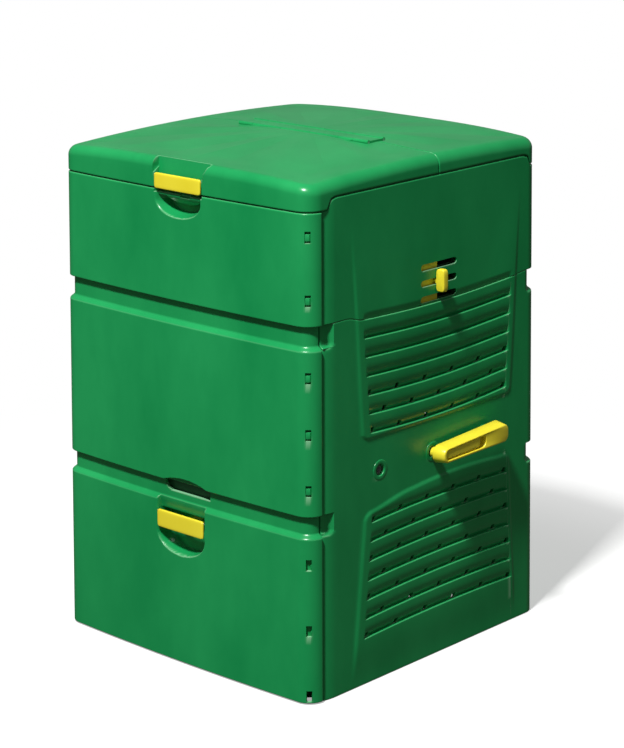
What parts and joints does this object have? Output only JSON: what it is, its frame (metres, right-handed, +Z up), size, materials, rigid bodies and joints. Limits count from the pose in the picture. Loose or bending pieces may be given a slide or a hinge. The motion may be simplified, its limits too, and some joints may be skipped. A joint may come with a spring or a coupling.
{
  "type": "compost bin",
  "caption": "Square thermal compost bin in stacked tiers with two hinged lid halves, tilting bottom doors, louvred sides, air slides and a turning floor worked by a side lever.",
  "frame": {"origin": "on the ground, in the middle of the outer box, which includes the lever and the air slide knobs", "axes": "+Z up, the front with the two latches faces -Y, the side with the lever faces +X"},
  "size_m": [0.8264, 0.8094, 1.15],
  "materials": {
    "green_plastic": "satin",
    "dark_green_plastic": "matt",
    "yellow_plastic": "satin",
    "steel": "satin"
  },
  "bodies": {
    "root": {"base_grid": "dark_green_plastic", "front_top_panel": "green_plastic", "front_middle_panel": "green_plastic", "rear_top_panel": "green_plastic", "rear_middle_panel": "green_plastic", "right_side_lower": "green_plastic", "left_side_lower": "green_plastic", "right_side_upper": "green_plastic", "left_side_upper": "green_plastic", "hinge_bridge": "green_plastic", "front_hinge_rod": "steel", "rear_hinge_rod": "steel", "chamber_grid": "dark_green_plastic", "front_floor_shelf": "dark_green_plastic", "rear_floor_shelf": "dark_green_plastic", "right_slide_guide": "dark_green_plastic", "left_slide_guide": "dark_green_plastic", "right_front_bush": "dark_green_plastic", "right_centre_bush": "dark_green_plastic", "right_rear_bush": "dark_green_plastic", "left_front_bush": "dark_green_plastic", "left_centre_bush": "dark_green_plastic", "left_rear_bush": "dark_green_plastic", "front_door_pin_left": "steel", "front_door_pin_right": "steel", "rear_door_pin_left": "steel", "rear_door_pin_right": "steel"},
    "front_lid": {"front_lid": "green_plastic", "front_lid_latch_pin": "steel"},
    "rear_lid": {"rear_lid": "green_plastic", "rear_lid_latch_pin": "steel"},
    "front_lid_latch": {"front_lid_latch": "yellow_plastic"},
    "rear_lid_latch": {"rear_lid_latch": "yellow_plastic"},
    "front_door": {"front_door": "green_plastic", "front_door_latch_pin": "steel"},
    "rear_door": {"rear_door": "green_plastic", "rear_door_latch_pin": "steel"},
    "front_door_latch": {"front_door_latch": "yellow_plastic"},
    "rear_door_latch": {"rear_door_latch": "yellow_plastic"},
    "right_air_slide": {"right_slide_plate": "yellow_plastic", "right_slide_knob": "yellow_plastic"},
    "left_air_slide": {"left_slide_plate": "yellow_plastic", "left_slide_knob": "yellow_plastic"},
    "floor_flap_centre": {"centre_flap": "dark_green_plastic", "centre_flap_shaft": "steel", "centre_flap_crank": "steel", "floor_lever": "yellow_plastic"},
    "floor_flap_front": {"front_flap": "dark_green_plastic", "front_flap_shaft": "steel", "front_flap_crank": "steel"},
    "floor_flap_rear": {"rear_flap": "dark_green_plastic", "rear_flap_shaft": "steel", "rear_flap_crank": "steel"},
    "floor_tie_bar": {"flap_tie_bar": "steel"}
  },
  "joints": [
    {"name": "front_lid_hinge", "type": "hinge", "parent": "root", "child": "front_lid", "pos_m": [-0.01417, 0.005, 1.145], "axis": [-1, 0, 0], "range_deg": [0, 85]},
    {"name": "rear_lid_hinge", "type": "hinge", "parent": "root", "child": "rear_lid", "pos_m": [-0.01417, 0.055, 1.145], "axis": [1, 0, 0], "range_deg": [0, 85]},
    {"name": "front_lid_latch_pivot", "type": "hinge", "parent": "front_lid", "child": "front_lid_latch", "pos_m": [-0.01417, -0.38974, 1.0985], "axis": [-1, 0, 0], "range_deg": [0, 25], "stiffness_Nm_per_rad": 0.3, "springref_deg": -6.88},
    {"name": "rear_lid_latch_pivot", "type": "hinge", "parent": "rear_lid", "child": "rear_lid_latch", "pos_m": [-0.01417, 0.38974, 1.0985], "axis": [1, 0, 0], "range_deg": [0, 25], "stiffness_Nm_per_rad": 0.3, "springref_deg": -6.88},
    {"name": "front_door_hinge", "type": "hinge", "parent": "root", "child": "front_door", "pos_m": [-0.01417, -0.39604, 0.014], "axis": [1, 0, 0], "range_deg": [0, 80]},
    {"name": "rear_door_hinge", "type": "hinge", "parent": "root", "child": "rear_door", "pos_m": [-0.01417, 0.39604, 0.014], "axis": [-1, 0, 0], "range_deg": [0, 80]},
    {"name": "front_door_latch_pivot", "type": "hinge", "parent": "front_door", "child": "front_door_latch", "pos_m": [-0.01417, -0.39865, 0.3435], "axis": [-1, 0, 0], "range_deg": [0, 20], "stiffness_Nm_per_rad": 0.3, "springref_deg": -6.88},
    {"name": "rear_door_latch_pivot", "type": "hinge", "parent": "rear_door", "child": "rear_door_latch", "pos_m": [-0.01417, 0.39865, 0.3435], "axis": [1, 0, 0], "range_deg": [0, 20], "stiffness_Nm_per_rad": 0.3, "springref_deg": -6.88},
    {"name": "right_air_slide_travel", "type": "slide", "parent": "root", "child": "right_air_slide", "axis": [0, 1, 0], "range_m": [-0.047, 0.05]},
    {"name": "left_air_slide_travel", "type": "slide", "parent": "root", "child": "left_air_slide", "axis": [0, 1, 0], "range_m": [-0.047, 0.05]},
    {"name": "centre_flap_turn", "type": "hinge", "parent": "root", "child": "floor_flap_centre", "pos_m": [-0.01417, 0.01, 0.478], "axis": [1, 0, 0], "range_deg": [0, 90]},
    {"name": "front_flap_turn", "type": "hinge", "parent": "root", "child": "floor_flap_front", "pos_m": [-0.01417, -0.167, 0.478], "axis": [1, 0, 0], "range_deg": [0, 90]},
    {"name": "rear_flap_turn", "type": "hinge", "parent": "root", "child": "floor_flap_rear", "pos_m": [-0.01417, 0.187, 0.478], "axis": [1, 0, 0], "range_deg": [0, 90]},
    {"name": "tie_bar_pivot", "type": "hinge", "parent": "floor_flap_centre", "child": "floor_tie_bar", "pos_m": [-0.01417, -0.01828, 0.44972], "axis": [1, 0, 0], "range_deg": [-90, 0]}
  ],
  "couplings": [
    {"joint": "front_flap_turn", "follows": "centre_flap_turn", "ratio": 1},
    {"joint": "rear_flap_turn", "follows": "centre_flap_turn", "ratio": 1},
    {"joint": "tie_bar_pivot", "follows": "centre_flap_turn", "ratio": -1}
  ]
}
